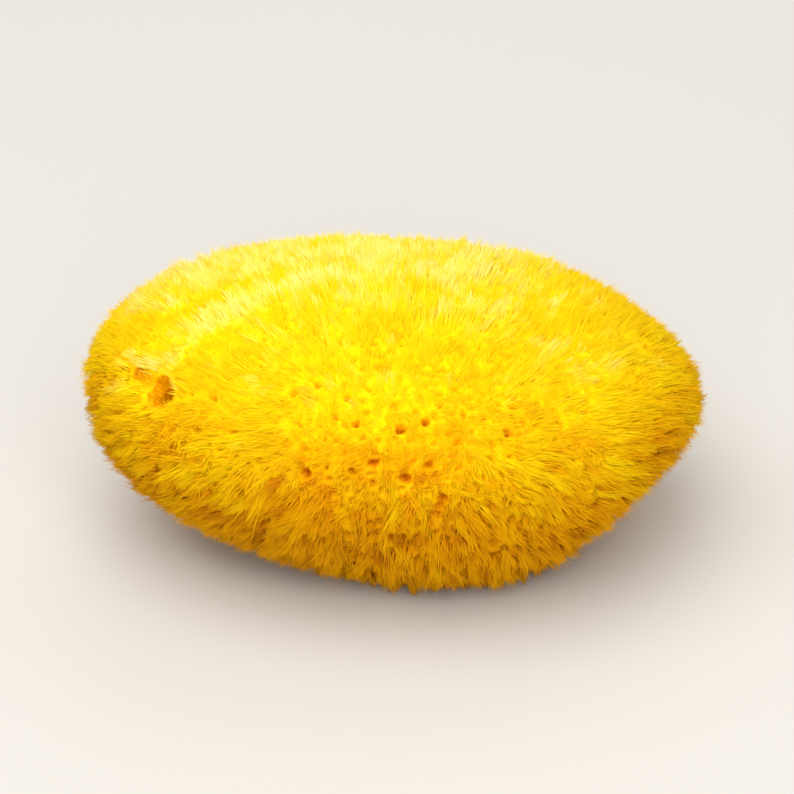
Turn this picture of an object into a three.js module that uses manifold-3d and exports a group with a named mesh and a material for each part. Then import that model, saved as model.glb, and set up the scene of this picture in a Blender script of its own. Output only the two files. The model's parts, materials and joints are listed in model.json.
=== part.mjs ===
// A natural silk sea sponge: one soft oval cushion, covered all over in small pointed tufts with pores
// between them, with a few larger openings, and trimmed flat underneath where it was cut from its rock.
//
// Millimetres, +Z up. The sponge lies on its cut, with its long way along X and its front towards -Y.
// The origin is under the middle of its box, on the plane of the cut.

import * as THREE from "three";
import { ConvexHull } from "three/addons/math/ConvexHull.js";
import { SimplexNoise } from "three/addons/math/SimplexNoise.js";
import { mergeVertices } from "three/addons/utils/BufferGeometryUtils.js";
import Module from "manifold-3d";

// Overall size, measured over the tips of the tufts.
const LENGTH = 100;
const DEPTH = 70;
const HEIGHT = 46;

// The cushion under the tufts: two half ovals that meet at its widest level, the lower one the deeper.
const HALF = { length: 49, depth: 34, above: 21.7, below: 27 };
const SQUARENESS = 2.1; // 2 gives round ovals and more gives boxier ones
const CUT_LEVEL = -0.83 * HALF.below;
const FOOT_TAPER = { length: 0.23, depth: 0.2, bend: 1.6 }; // width lost by the foot, and how it starts
const FOOT_SHIFT = 5; // how far the foot lies to the right of the top
const LEAN = -0.06; // how much the whole drops towards its right end, per mm

// Swellings and hollows of the cushion. turn is the angle to the right of the front and rise the angle
// above level, both in degrees. spread is the angle at which a lump has faded to 0.6 of its height.
const LUMPS = [
  { turn: -75, rise: 10, spread: 22, height: -1 }, // the blunt left end
  { turn: -85, rise: -8, spread: 9, height: -1 },
  { turn: -88, rise: 34, spread: 12, height: 2.4 }, // the shoulder above it
  { turn: -80, rise: -28, spread: 16, height: 1.2 }, // the fuller side below it
  { turn: -48, rise: -18, spread: 7, height: 1 }, // the knob low on the left
  { turn: -38, rise: -12, spread: 9, height: -1.1 }, // the hollow beside it
  { turn: 80, rise: -20, spread: 20, height: -6.3 }, // the straight fall under the right end
  { turn: 85, rise: 8, spread: 16, height: 3.1 }, // the right end
  { turn: 20, rise: -60, spread: 20, height: 2.7 }, // the full lower front
  { turn: -35, rise: -40, spread: 12, height: -0.6 }, // the flatter fall to the left of it
  { turn: -57, rise: 42, spread: 9, height: 0.8 }, // the soft fold that runs up from the left opening
  { turn: -68, rise: 62, spread: 10, height: 0.8 },
  { turn: -113, rise: 78, spread: 10, height: 0.6 },
  { turn: 10, rise: 64, spread: 16, height: -0.6 }, // the shallow dish below the fold
  { turn: 150, rise: 14, spread: 22, height: 1.6 }, // two rounded swellings of the back
  { turn: -145, rise: 4, spread: 20, height: 1.4 },
  { turn: 177, rise: 16, spread: 12, height: -1.6 }, // the dip between them
];
const SWELL = { size: 22, height: 0.5 }; // a fainter unevenness over the whole

// Tufts and pores. Each tuft is a point and each gap between three tufts is a pore.
const TUFT_COUNT = 1310;
const TUFT_RISE = { least: 0.4, most: 1.7 };
const PORE_DEPTH = { least: 0.5, most: 1.6 };
const DEEP_PORE_DEPTH = 3.2;
const DEEP_PORE_SHARE = 0.2;
const SCATTER = 0.5; // how unevenly the tufts start out, as a share of their spacing
const SPREADING = { rounds: 7, reach: 1.5, strength: 0.53 }; // reach is a share of the spacing
const SEED = 20;

// The round openings that the sponge breathed out through, each a funnel that narrows into a channel.
const OPENINGS = [
  { turn: -55, rise: 27, mouth: 2.7, throat: 1.7, depth: 13 },
  { turn: -66, rise: 28, mouth: 1.8, throat: 0.9, depth: 3.5 }, // the shallow groove beside the first
  { turn: 152, rise: 52, mouth: 2.5, throat: 1.5, depth: 11 },
  { turn: -128, rise: 40, mouth: 2.0, throat: 1.3, depth: 9 },
];
const FUNNEL = { sides: 9, above: 3, flare: 1.25, neck: 0.45, end: 0.8 }; // the last three are shares
const COLLAR = { tufts: 9, radius: 1.35, rise: 2, clear: 2.1 }; // its radii are shares of the mouth

// The larger pores of the front, where the tufts point at the viewer and the gaps show.
const FRONT_PORES = [
  { turn: 6, rise: 36 },
  { turn: 0, rise: 30 },
  { turn: -7, rise: 32 },
  { turn: 26, rise: 32 },
  { turn: -4, rise: 20 },
  { turn: 3, rise: 16 },
  { turn: -16, rise: 14 },
  { turn: 8, rise: 7 },
  { turn: -10, rise: -13 },
  { turn: 19, rise: -15 },
];
const FRONT_PORE_DEPTH = 4;

// The pores that the knife laid open, on the cut.
const CUT_PORE_SPACING = 4.4;
const CUT_PORE = { mouth: 0.75, depth: 3, sides: 6, sizeSpread: 0.2, shift: 0.2 }; // both spreads are shares
const CUT_MARGIN = 2.2; // bare width between the outermost of them and the rim of the cut
const CUT_BARE_MIDDLE = 3; // the middle of the cut, left whole

const wasm = await Module();
wasm.setup();

const SKIN = new THREE.MeshStandardMaterial({
  name: "sponge",
  color: 0xf7c60f,
  roughness: 0.95,
  metalness: 0,
});

// A source of even random numbers from 0 to 1 that gives the same run each time.
function randomFrom(seed) {
  let state = seed >>> 0;
  return () => {
    state = (state + 0x6d2b79f5) >>> 0;
    let mixed = Math.imul(state ^ (state >>> 15), 1 | state);
    mixed = (mixed + Math.imul(mixed ^ (mixed >>> 7), 61 | mixed)) ^ mixed;
    return ((mixed ^ (mixed >>> 14)) >>> 0) / 2 ** 32;
  };
}

const unevenness = new SimplexNoise({ random: randomFrom(SEED + 2) });

function between(range, share) {
  return THREE.MathUtils.lerp(range.least, range.most, share);
}

// The unit vector that points at a place on the sponge.
function towards({ turn, rise }) {
  const t = THREE.MathUtils.degToRad(turn);
  const r = THREE.MathUtils.degToRad(rise);
  return new THREE.Vector3(Math.sin(t) * Math.cos(r), -Math.cos(t) * Math.cos(r), Math.sin(r));
}

// The cushion's smooth outside in the direction of a unit vector, about the middle of its widest level.
function cushionAt(direction) {
  const n = SQUARENESS;
  const { x, y, z } = direction;
  const reach = (Math.abs(x) ** n + Math.abs(y) ** n + Math.abs(z) ** n) ** (-1 / n);
  const tall = z < 0 ? HALF.below : HALF.above;
  const point = new THREE.Vector3(x * HALF.length, y * HALF.depth, z * tall).multiplyScalar(reach);
  const down = Math.max(0, -point.z / tall);
  point.x *= 1 - FOOT_TAPER.length * down ** FOOT_TAPER.bend;
  point.y *= 1 - FOOT_TAPER.depth * down ** FOOT_TAPER.bend;
  point.x += FOOT_SHIFT * down ** 2;
  for (const lump of LUMPS) {
    const away = direction.angleTo(towards(lump)) / THREE.MathUtils.degToRad(lump.spread);
    point.addScaledVector(direction, lump.height * Math.exp(-0.5 * away ** 2));
  }
  const at = point.clone().divideScalar(SWELL.size);
  point.addScaledVector(direction, SWELL.height * unevenness.noise3d(at.x, at.y, at.z));
  point.z += LEAN * point.x;
  return point;
}

// How the cushion lies around a place: its point there, its outward normal, and how to step sideways.
function surfaceAt(direction) {
  const step = 0.02; // small beside the lumps
  const side = new THREE.Vector3(0, 0, 1).cross(direction).normalize();
  const up = direction.clone().cross(side);
  const middle = cushionAt(direction);
  const sideways = cushionAt(direction.clone().addScaledVector(side, step).normalize()).sub(middle);
  const upwards = cushionAt(direction.clone().addScaledVector(up, step).normalize()).sub(middle);
  const outward = sideways.clone().cross(upwards).normalize();
  const stepBy = (across, along) =>
    direction
      .clone()
      .addScaledVector(side, (across * step) / sideways.length())
      .addScaledVector(up, (along * step) / upwards.length())
      .normalize();
  return { middle, outward, stepBy };
}

// Directions that start along a spiral and then push each other apart over the cushion until they are even.
function evenDirections(random) {
  const spacing = Math.sqrt((4 * Math.PI) / TUFT_COUNT);
  const golden = Math.PI * (3 - Math.sqrt(5));
  const directions = [];
  for (let i = 0; i < TUFT_COUNT; i++) {
    const z = 1 - (2 * i + 1) / TUFT_COUNT;
    const around = Math.sqrt(1 - z * z);
    const start = new THREE.Vector3(around * Math.cos(golden * i), around * Math.sin(golden * i), z);
    const push = new THREE.Vector3(random() - 0.5, random() - 0.5, random() - 0.5);
    directions.push(start.addScaledVector(push, 2 * SCATTER * spacing).normalize());
  }
  const area = (Math.PI * (LENGTH * DEPTH + DEPTH * HEIGHT + HEIGHT * LENGTH)) / 3;
  const apartOnBody = Math.sqrt(area / TUFT_COUNT);
  const near = SPREADING.reach * apartOnBody;
  const strength = SPREADING.strength * (apartOnBody / LENGTH);
  for (let round = 0; round < SPREADING.rounds; round++) {
    const points = directions.map(cushionAt);
    directions.forEach((direction, i) => {
      const push = new THREE.Vector3();
      for (const other of points) {
        const apart = points[i].distanceTo(other);
        if (apart > 0 && apart < near) {
          push.addScaledVector(points[i].clone().sub(other), (1 - apart / near) / apart);
        }
      }
      direction.addScaledVector(push, strength).normalize();
    });
  }
  return directions;
}

// The tufts in a ring around an opening, and the point in its middle that the opening will take away.
function collar(opening) {
  const direction = towards(opening);
  const { stepBy } = surfaceAt(direction);
  const ring = [direction];
  for (let i = 0; i < COLLAR.tufts; i++) {
    const angle = (2 * Math.PI * i) / COLLAR.tufts;
    const radius = COLLAR.radius * opening.mouth;
    ring.push(stepBy(radius * Math.cos(angle), radius * Math.sin(angle)));
  }
  return ring;
}

// Where the tufts stand and how high each one rises.
function tufts(random) {
  const mouths = OPENINGS.map((opening) => ({
    middle: cushionAt(towards(opening)),
    clear: COLLAR.clear * opening.mouth,
  }));
  const isClear = (direction) => {
    const point = cushionAt(direction);
    return mouths.every(({ middle, clear }) => point.distanceTo(middle) > clear);
  };
  const field = evenDirections(random).filter(isClear);
  const collars = OPENINGS.flatMap(collar);
  return [
    ...field.map((direction) => ({ direction, rise: between(TUFT_RISE, random()) })),
    ...collars.map((direction) => ({ direction, rise: COLLAR.rise })),
  ];
}

// The triangles between neighbouring directions, as indices, each facing out.
function trianglesBetween(directions) {
  const tagged = directions.map((direction, index) => Object.assign(direction.clone(), { index }));
  return new ConvexHull().setFromPoints(tagged).faces.map((face) => {
    const first = face.edge;
    return [first.head().point.index, first.next.head().point.index, first.prev.head().point.index];
  });
}

// The angle of a triangle at its first corner.
function angleAt(corner, one, other) {
  return one.clone().sub(corner).angleTo(other.clone().sub(corner));
}

// Turns the shared edge of two triangles wherever that makes them rounder on the body.
function rounded(triangles, points) {
  const key = (a, b) => a * points.length + b;
  let turned = true;
  while (turned) {
    turned = false;
    const owner = new Map();
    triangles.forEach(([a, b, c], t) => {
      owner.set(key(a, b), [t, c]);
      owner.set(key(b, c), [t, a]);
      owner.set(key(c, a), [t, b]);
    });
    const moved = new Set();
    for (const [edge, [t, c]] of owner) {
      const a = Math.floor(edge / points.length);
      const b = edge % points.length;
      const [s, d] = owner.get(key(b, a));
      if (moved.has(t) || moved.has(s) || owner.has(key(c, d))) {
        continue;
      }
      const facing = angleAt(points[c], points[a], points[b]) + angleAt(points[d], points[a], points[b]);
      if (facing > Math.PI + 1e-6) {
        triangles[t] = [a, d, c];
        triangles[s] = [d, b, c];
        moved.add(t);
        moved.add(s);
        turned = true;
      }
    }
  }
  return triangles;
}

function geometryOf(points, triangles) {
  const geometry = new THREE.BufferGeometry().setFromPoints(points);
  geometry.setIndex(triangles.flat());
  return geometry;
}

// The index of the point that lies nearest to a place.
function nearest(points, place) {
  let best = 0;
  points.forEach((point, i) => {
    if (point.distanceTo(place) < points[best].distanceTo(place)) {
      best = i;
    }
  });
  return best;
}

// The cushion with a tuft raised at each point and a pore sunk in the middle of each triangle.
function tuftedBody() {
  const random = randomFrom(SEED);
  const field = tufts(random);
  const directions = field.map(({ direction }) => direction);
  const points = directions.map(cushionAt);
  const triangles = rounded(trianglesBetween(directions), points);

  const smooth = geometryOf(points, triangles);
  smooth.computeVertexNormals();
  const normals = points.map((_, i) => new THREE.Vector3().fromBufferAttribute(smooth.attributes.normal, i));

  const raised = points.map((point, i) => point.clone().addScaledVector(normals[i], field[i].rise));
  const middles = triangles.map(([a, b, c]) => {
    const sum = points[a].clone().add(points[b]).add(points[c]);
    return sum.divideScalar(3);
  });
  const depths = middles.map(() => {
    const deep = random() < DEEP_PORE_SHARE;
    return deep ? DEEP_PORE_DEPTH : between(PORE_DEPTH, random());
  });
  for (const pore of FRONT_PORES) {
    depths[nearest(middles, cushionAt(towards(pore)))] = FRONT_PORE_DEPTH;
  }
  const faces = [];
  triangles.forEach(([a, b, c], t) => {
    const inward = normals[a].clone().add(normals[b]).add(normals[c]).normalize().negate();
    const pore = raised.push(middles[t].clone().addScaledVector(inward, depths[t])) - 1;
    faces.push([a, b, pore], [b, c, pore], [c, a, pore]);
  });
  return geometryOf(raised, faces);
}

// A closed geometry as a solid that can be cut.
function solidFrom(geometry) {
  const bare = geometry.clone();
  bare.deleteAttribute("normal");
  bare.deleteAttribute("uv");
  const merged = mergeVertices(bare, 1e-4);
  return new wasm.Manifold(
    new wasm.Mesh({
      numProp: 3,
      vertProperties: new Float32Array(merged.attributes.position.array),
      triVerts: new Uint32Array(merged.index.array),
    }),
  );
}

function geometryFrom(solid) {
  const mesh = solid.getMesh();
  const geometry = new THREE.BufferGeometry();
  geometry.setAttribute("position", new THREE.BufferAttribute(new Float32Array(mesh.vertProperties), 3));
  geometry.setIndex(new THREE.BufferAttribute(new Uint32Array(mesh.triVerts), 1));
  return geometry;
}

// The funnel of an opening, from outside its tufts down to the end of its channel.
function funnel(opening) {
  const { mouth, throat, depth } = opening;
  const profile = [
    new THREE.Vector2(0, -depth),
    new THREE.Vector2(throat * FUNNEL.end, throat / 2 - depth),
    new THREE.Vector2(throat, -depth * FUNNEL.neck),
    new THREE.Vector2(mouth, 0),
    new THREE.Vector2(mouth * FUNNEL.flare, FUNNEL.above),
    new THREE.Vector2(0, FUNNEL.above),
  ];
  const geometry = new THREE.LatheGeometry(profile, FUNNEL.sides);
  const { middle, outward } = surfaceAt(towards(opening));
  const turn = new THREE.Quaternion().setFromUnitVectors(new THREE.Vector3(0, 1, 0), outward);
  return geometry.applyQuaternion(turn).translate(middle.x, middle.y, middle.z);
}

function cutAway(solid, geometry) {
  return solid.subtract(solidFrom(geometry));
}

// Everything below a level.
function below(level) {
  const size = 2 * LENGTH;
  return new THREE.BoxGeometry(size, size, size).translate(0, 0, level - size / 2);
}

// Short cones over the cut, in staggered rows that stop short of its rim.
function cutPores(random) {
  const rowSpacing = (CUT_PORE_SPACING * Math.sqrt(3)) / 2;
  const rows = Math.ceil(DEPTH / 2 / rowSpacing);
  const columns = Math.ceil(LENGTH / 2 / CUT_PORE_SPACING);
  const either = (spread) => (2 * random() - 1) * spread;
  const pores = [];
  for (let row = -rows; row <= rows; row++) {
    for (let column = -columns; column <= columns; column++) {
      const x = (column + (row % 2) / 2 + either(CUT_PORE.shift)) * CUT_PORE_SPACING;
      const y = (row + either(CUT_PORE.shift)) * rowSpacing;
      const size = 1 + either(CUT_PORE.sizeSpread);
      if (Math.hypot(x, y) < CUT_BARE_MIDDLE || !insideCut(x, y)) {
        continue;
      }
      const radius = 2 * size * CUT_PORE.mouth;
      const cone = new THREE.ConeGeometry(radius, 2 * CUT_PORE.depth, CUT_PORE.sides);
      pores.push(cone.rotateX(Math.PI / 2).translate(x, y, CUT_LEVEL));
    }
  }
  return pores;
}

// Whether a point of the cut is further than the margin from its rim.
function insideCut(x, y) {
  const out = Math.hypot(x, y);
  const wallAt = (z) => {
    const around = Math.sqrt(1 - z * z) / out;
    return cushionAt(new THREE.Vector3(x * around, y * around, z));
  };
  let low = -1;
  let high = 0;
  for (let halving = 0; halving < 20; halving++) {
    const z = (low + high) / 2;
    if (wallAt(z).z < CUT_LEVEL) {
      low = z;
    } else {
      high = z;
    }
  }
  const rim = wallAt(high);
  return out < Math.hypot(rim.x, rim.y) - CUT_MARGIN;
}

// Scales a geometry to the sponge's overall size and stands it on the origin.
function fitted(geometry) {
  geometry.computeBoundingBox();
  const size = geometry.boundingBox.getSize(new THREE.Vector3());
  const middle = geometry.boundingBox.getCenter(new THREE.Vector3());
  geometry.translate(-middle.x, -middle.y, -geometry.boundingBox.min.z);
  return geometry.scale(LENGTH / size.x, DEPTH / size.y, HEIGHT / size.z);
}

function sponge() {
  let solid = cutAway(solidFrom(tuftedBody()), below(CUT_LEVEL));
  for (const opening of OPENINGS) {
    solid = cutAway(solid, funnel(opening));
  }
  for (const pore of cutPores(randomFrom(SEED + 1))) {
    solid = cutAway(solid, pore);
  }
  const mesh = new THREE.Mesh(fitted(geometryFrom(solid)), SKIN);
  mesh.name = "sponge";
  return mesh;
}

const part = new THREE.Group();
part.name = "sea_sponge";
part.add(sponge());

export default part;
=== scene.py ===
import itertools
import json
import math

import bpy
import numpy as np
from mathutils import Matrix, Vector, noise
from mathutils.bvhtree import BVHTree
from mathutils.kdtree import KDTree

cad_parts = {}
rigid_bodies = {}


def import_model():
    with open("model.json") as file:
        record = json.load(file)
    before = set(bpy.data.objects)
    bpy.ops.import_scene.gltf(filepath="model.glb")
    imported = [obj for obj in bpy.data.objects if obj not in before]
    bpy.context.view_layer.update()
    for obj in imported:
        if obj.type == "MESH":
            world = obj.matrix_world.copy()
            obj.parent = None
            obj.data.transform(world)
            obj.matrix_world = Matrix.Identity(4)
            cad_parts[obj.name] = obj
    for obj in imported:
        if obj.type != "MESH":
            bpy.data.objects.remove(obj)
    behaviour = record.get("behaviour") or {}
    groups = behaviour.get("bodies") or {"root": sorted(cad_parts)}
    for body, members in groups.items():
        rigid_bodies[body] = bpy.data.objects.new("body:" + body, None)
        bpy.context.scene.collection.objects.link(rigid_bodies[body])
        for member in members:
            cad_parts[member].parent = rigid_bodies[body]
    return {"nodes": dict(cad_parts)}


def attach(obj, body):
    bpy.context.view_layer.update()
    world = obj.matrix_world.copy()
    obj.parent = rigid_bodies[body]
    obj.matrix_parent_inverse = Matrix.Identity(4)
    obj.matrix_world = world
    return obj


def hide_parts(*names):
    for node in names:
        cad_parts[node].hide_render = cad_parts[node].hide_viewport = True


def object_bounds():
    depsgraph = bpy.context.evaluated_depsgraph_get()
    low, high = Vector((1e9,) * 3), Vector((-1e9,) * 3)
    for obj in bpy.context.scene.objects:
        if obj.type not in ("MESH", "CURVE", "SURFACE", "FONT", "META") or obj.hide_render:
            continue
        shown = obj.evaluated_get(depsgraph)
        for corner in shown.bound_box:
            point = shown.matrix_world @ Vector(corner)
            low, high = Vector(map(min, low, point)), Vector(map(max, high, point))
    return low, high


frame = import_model()
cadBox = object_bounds()

# A silk sea sponge: a firm amber body full of pores, under a dense nap of pointed tufts of fine fibres.
# All shaping below is in millimetres, and a mesh goes into metres when it is made.
metresPerMm = 0.001
noiseSpan = 1.6  # brings plain noise to about -1 to 1
rng = np.random.default_rng(41)


def lengthsOf(vectors):
    return np.linalg.norm(vectors, axis=1)


def unit(vectors):
    return vectors / np.linalg.norm(vectors, axis=-1, keepdims=True)


def smoothStep(low, high, values):
    t = np.clip((values - low) / (high - low), 0, 1)
    return t * t * (3 - 2 * t)


def between(pair, share):
    return pair[0] + share * (pair[1] - pair[0])


def dots(first, second):
    # row by row
    return np.einsum("ij,ij->i", first, second)


def cloudAt(points, size, seed):
    # soft noise from about -1 to 1, with blobs of the given size in mm
    shift = Vector((seed * 17.3, seed * 5.1, seed * 9.7))
    return np.array([noise.noise(Vector(p) / size + shift) for p in points]) * noiseSpan


def treeOf(points):
    tree = KDTree(len(points))
    for i, p in enumerate(points):
        tree.insert(Vector(p), i)
    tree.balance()
    return tree


def segmentGap(points, a, b):
    # how far each point is from the straight line between two places
    share = np.clip((points - a) @ (b - a) / ((b - a) @ (b - a)), 0, 1)
    return lengthsOf(points - a - share[:, None] * (b - a))


def withoutDoubles(points, faces, digits):
    kept, where = np.unique(np.round(points, digits), axis=0, return_inverse=True)
    return kept, where.reshape(-1)[faces]


def edgesOf(triangles):
    return np.concatenate([triangles[:, pair] for pair in ([0, 1], [1, 2], [2, 0])])


def heightShare(form, points):
    return (points[:, 2] - form["low"][2]) / (form["high"][2] - form["low"][2])


def meshFrom(name, points, faces, along=None, tone=None, **masks):
    mesh = bpy.data.meshes.new(name)
    mesh.vertices.add(len(points))
    mesh.vertices.foreach_set("co", (points * metresPerMm).astype(np.float32).ravel())
    corners = faces.ravel().astype(np.int32)
    mesh.loops.add(len(corners))
    mesh.loops.foreach_set("vertex_index", corners)
    mesh.polygons.add(len(faces))
    sides = faces.shape[1]
    mesh.polygons.foreach_set("loop_start", np.arange(0, len(corners), sides, dtype=np.int32))
    mesh.polygons.foreach_set("use_smooth", np.ones(len(faces), dtype=bool))
    mesh.update(calc_edges=True)
    if along is not None:
        places = np.stack([tone[corners], along[corners]], axis=1).astype(np.float32).ravel()
        for layer in ("strand", "OFBake"):
            mesh.uv_layers.new(name=layer)
            mesh.uv_layers[layer].uv.foreach_set("vector", places)
    for mask, values in masks.items():
        mesh.attributes.new(mask, "FLOAT", "POINT")
        mesh.attributes[mask].data.foreach_set("value", values.astype(np.float32))
    piece = bpy.data.objects.new(name, mesh)
    bpy.context.scene.collection.objects.link(piece)
    return piece


# The body's form, read from the solid.
bodyForm = {
    "globeCuts": 6,  # how finely the form is felt out, as an icosphere's subdivisions
    "middle": 0.47,  # height of the place that it is felt out from, as a share
    "smoothing": 18,  # rounds that even out the solid's points and pits
    "cutHeight": 0.6,  # below this the solid is the flat cut, which the smooth form runs on past
    "cutRounds": 4,  # rounds that widen what is taken for the cut
    "sureBelow": 0.4,
    "runOn": 1.2,  # how much lower than the cut the form would end
    "filling": 150,  # rounds that carry the form on below the cut
    "poreDepth": 0.35,  # a pit of the solid that is deeper than this is a pore
    "poreFrom": 0.5,  # mm above the cut
    "funnelDepth": 2.6,  # and the closed end of an opening is deeper than this
    "funnelFrom": 4,
    "funnelRing": 0.8,  # radius of the ring round that end over the throat's
    "ringSlack": 0.1,
    "edges": {"pore": 3, "funnel": 9},  # how many of the solid's edges meet at the end of each
}


def pointsOf(mesh):
    points = np.empty(len(mesh.vertices) * 3)
    mesh.vertices.foreach_get("co", points)
    return points.reshape(-1, 3)


def solidShape(mesh):
    mesh.calc_loop_triangles()
    faces = np.empty(len(mesh.loop_triangles) * 3, dtype=np.int32)
    mesh.loop_triangles.foreach_get("vertices", faces)
    return withoutDoubles(pointsOf(mesh) / metresPerMm, faces.reshape(-1, 3), 3)


def globe(cuts):
    bpy.ops.mesh.primitive_ico_sphere_add(subdivisions=cuts, radius=1)
    ball = bpy.context.object
    points = pointsOf(ball.data)
    faces = np.array([p.vertices[:] for p in ball.data.polygons])
    bpy.data.objects.remove(ball)
    return unit(points), faces


def readForm(points, faces):
    tree = BVHTree.FromPolygons(points.tolist(), faces.tolist())
    low, high = points.min(axis=0), points.max(axis=0)
    middle = (low + high) / 2
    middle[2] = low[2] + bodyForm["middle"] * (high[2] - low[2])
    reach = float(np.linalg.norm(high - low))
    directions, triangles = globe(bodyForm["globeCuts"])
    radii = np.zeros(len(directions))
    for i, d in enumerate(directions):
        hit = tree.ray_cast(Vector(middle + d * reach), Vector(-d))[0]
        radii[i] = (hit - Vector(middle)).length
    heights = middle[2] + directions[:, 2] * radii
    edges = edgesOf(triangles)
    degree = np.bincount(edges[:, 0], minlength=len(radii)) + 1

    def evened(field):
        around = np.bincount(edges[:, 0], weights=field[edges[:, 1]], minlength=len(field))
        return (field + around) / degree

    # the flat cut with its pores, where the form has to be guessed
    onCut = (heights < low[2] + bodyForm["cutHeight"]).astype(float)
    for _ in range(bodyForm["cutRounds"]):
        onCut = evened(onCut)
    sure = onCut < bodyForm["sureBelow"]
    # taken as a share of a plain egg's radius, so that the long ends keep their reach
    halves = np.tile((high - low) / 2, (len(directions), 1))
    below = (middle[2] - low[2]) * bodyForm["runOn"]
    halves[:, 2] = np.where(directions[:, 2] > 0, high[2] - middle[2], below)
    egg = 1 / lengthsOf(directions / halves)
    share = np.where(sure, radii / egg, 1)
    for _ in range(bodyForm["filling"]):
        share = np.where(sure, share, evened(share))
    for _ in range(bodyForm["smoothing"]):
        share = evened(share)
    smooth = egg * share
    surface = middle + directions * smooth[:, None]
    a, b, c = (surface[triangles[:, corner]] for corner in range(3))
    faceNormals = np.cross(b - a, c - a)
    normals = np.zeros_like(surface)
    for corner in range(3):
        np.add.at(normals, triangles[:, corner], faceNormals)
    return {
        "middle": middle,
        "points": surface,
        "pointTree": treeOf(surface),
        "normals": unit(normals),
        "faces": triangles,
        "tree": BVHTree.FromPolygons(surface.tolist(), triangles.tolist()),
        "low": low,
        "high": high,
    }


def onForm(form, directions):
    # where rays from the middle meet the smooth form, and the outward normals there
    middle = Vector(form["middle"])
    places = np.zeros_like(directions)
    owners = np.zeros(len(directions), dtype=np.int32)
    for i, d in enumerate(directions):
        hit, _, face, _ = form["tree"].ray_cast(middle, Vector(d))
        places[i] = hit
        owners[i] = face
    corners = form["faces"][owners]
    a, b, c = (form["points"][corners[:, k]] for k in range(3))
    sides = ((b, c), (c, a), (a, b))
    areas = np.stack([lengthsOf(np.cross(p - places, q - places)) for p, q in sides], axis=1)
    shares = areas / areas.sum(axis=1, keepdims=True)
    normals = sum(form["normals"][corners[:, k]] * shares[:, k:k + 1] for k in range(3))
    return places, unit(normals)


def readPores(points, faces, form):
    edges = np.unique(np.sort(edgesOf(faces), axis=1), axis=0)
    valence = np.bincount(edges.ravel(), minlength=len(points))
    places, normals = onForm(form, unit(points - form["middle"]))
    depths = dots(places - points, normals)
    heights, floor, meeting = points[:, 2], form["low"][2], bodyForm["edges"]
    pits = (valence == meeting["pore"]) & (depths > bodyForm["poreDepth"])
    pits &= heights > floor + bodyForm["poreFrom"]
    rims = np.zeros_like(points)
    for a, b in ((0, 1), (1, 0)):
        np.add.at(rims, edges[:, a], points[edges[:, b]])
    rims = rims[pits] / meeting["pore"]
    ends = (valence == meeting["funnel"]) & (depths > bodyForm["funnelDepth"])
    ends &= heights > floor + bodyForm["funnelFrom"]
    openings = []
    for end in np.where(ends)[0]:
        ring = points[np.setdiff1d(edges[(edges == end).any(axis=1)].ravel(), [end])]
        centre = ring.mean(axis=0)
        spans = lengthsOf(ring - centre)
        if spans.std() > bodyForm["ringSlack"] * spans.mean():
            continue
        axis = unit(centre - points[end])
        throat = spans.mean() / bodyForm["funnelRing"]
        mouth = np.array(form["tree"].ray_cast(Vector(points[end]), Vector(axis))[0])
        openings.append({"end": points[end], "axis": axis, "mouth": mouth, "throat": throat})
    places = onForm(form, unit(rims - form["middle"]))[0]
    return {"places": places, "tree": treeOf(places), "depths": depths[pits], "openings": openings}


solidPoints, solidFaces = solidShape(frame["nodes"]["sponge"].data)
form = readForm(solidPoints, solidFaces)
pores = readPores(solidPoints, solidFaces, form)
print(f"form read: {len(form['points'])} points, {len(pores['places'])} pores, "
      f"{len(pores['openings'])} openings")


# Pores get round sizes of their own from how deep the solid's pits are.
poreSizes = {
    "small": (0.26, 0.5),  # radius in mm
    "least": 0.52,  # least radius that the nap leaves open
    "deep": (0.52, 0.72),
    "front": (0.78, 1.0),
    "deepFrom": 2.9,  # depth of the solid's pit
    "frontFrom": 3.75,
    "openWithin": 19,  # mm of the parting, inside which more of the small pores stand open
    "openFrom": 0.5,  # which of them do, by their draw
    "open": 0.42,
    "openSpan": 0.2,
    "openingClear": (1.6, 1),  # an opening's throat times this, plus this in mm, has no pores
}


def sizePores(pores):
    depths = pores["depths"]
    share = rng.random(len(depths))
    radii = between(poreSizes["small"], share)
    for kind in ("deep", "front"):
        radii = np.where(depths > poreSizes[kind + "From"], between(poreSizes[kind], share), radii)
    far = lengthsOf(pores["places"] - placeOn(form, nap["parting"]))
    isOpen = (far < poreSizes["openWithin"]) & (share > poreSizes["openFrom"])
    isOpen &= radii < poreSizes["deep"][0]
    radii = np.where(isOpen, poreSizes["open"] + poreSizes["openSpan"] * share, radii)
    widths, beyond = poreSizes["openingClear"]
    for opening in pores["openings"]:
        gap = lengthsOf(pores["places"] - opening["mouth"])
        radii = np.where(gap < opening["throat"] * widths + beyond, 0, radii)
    pores["radii"] = radii


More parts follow.
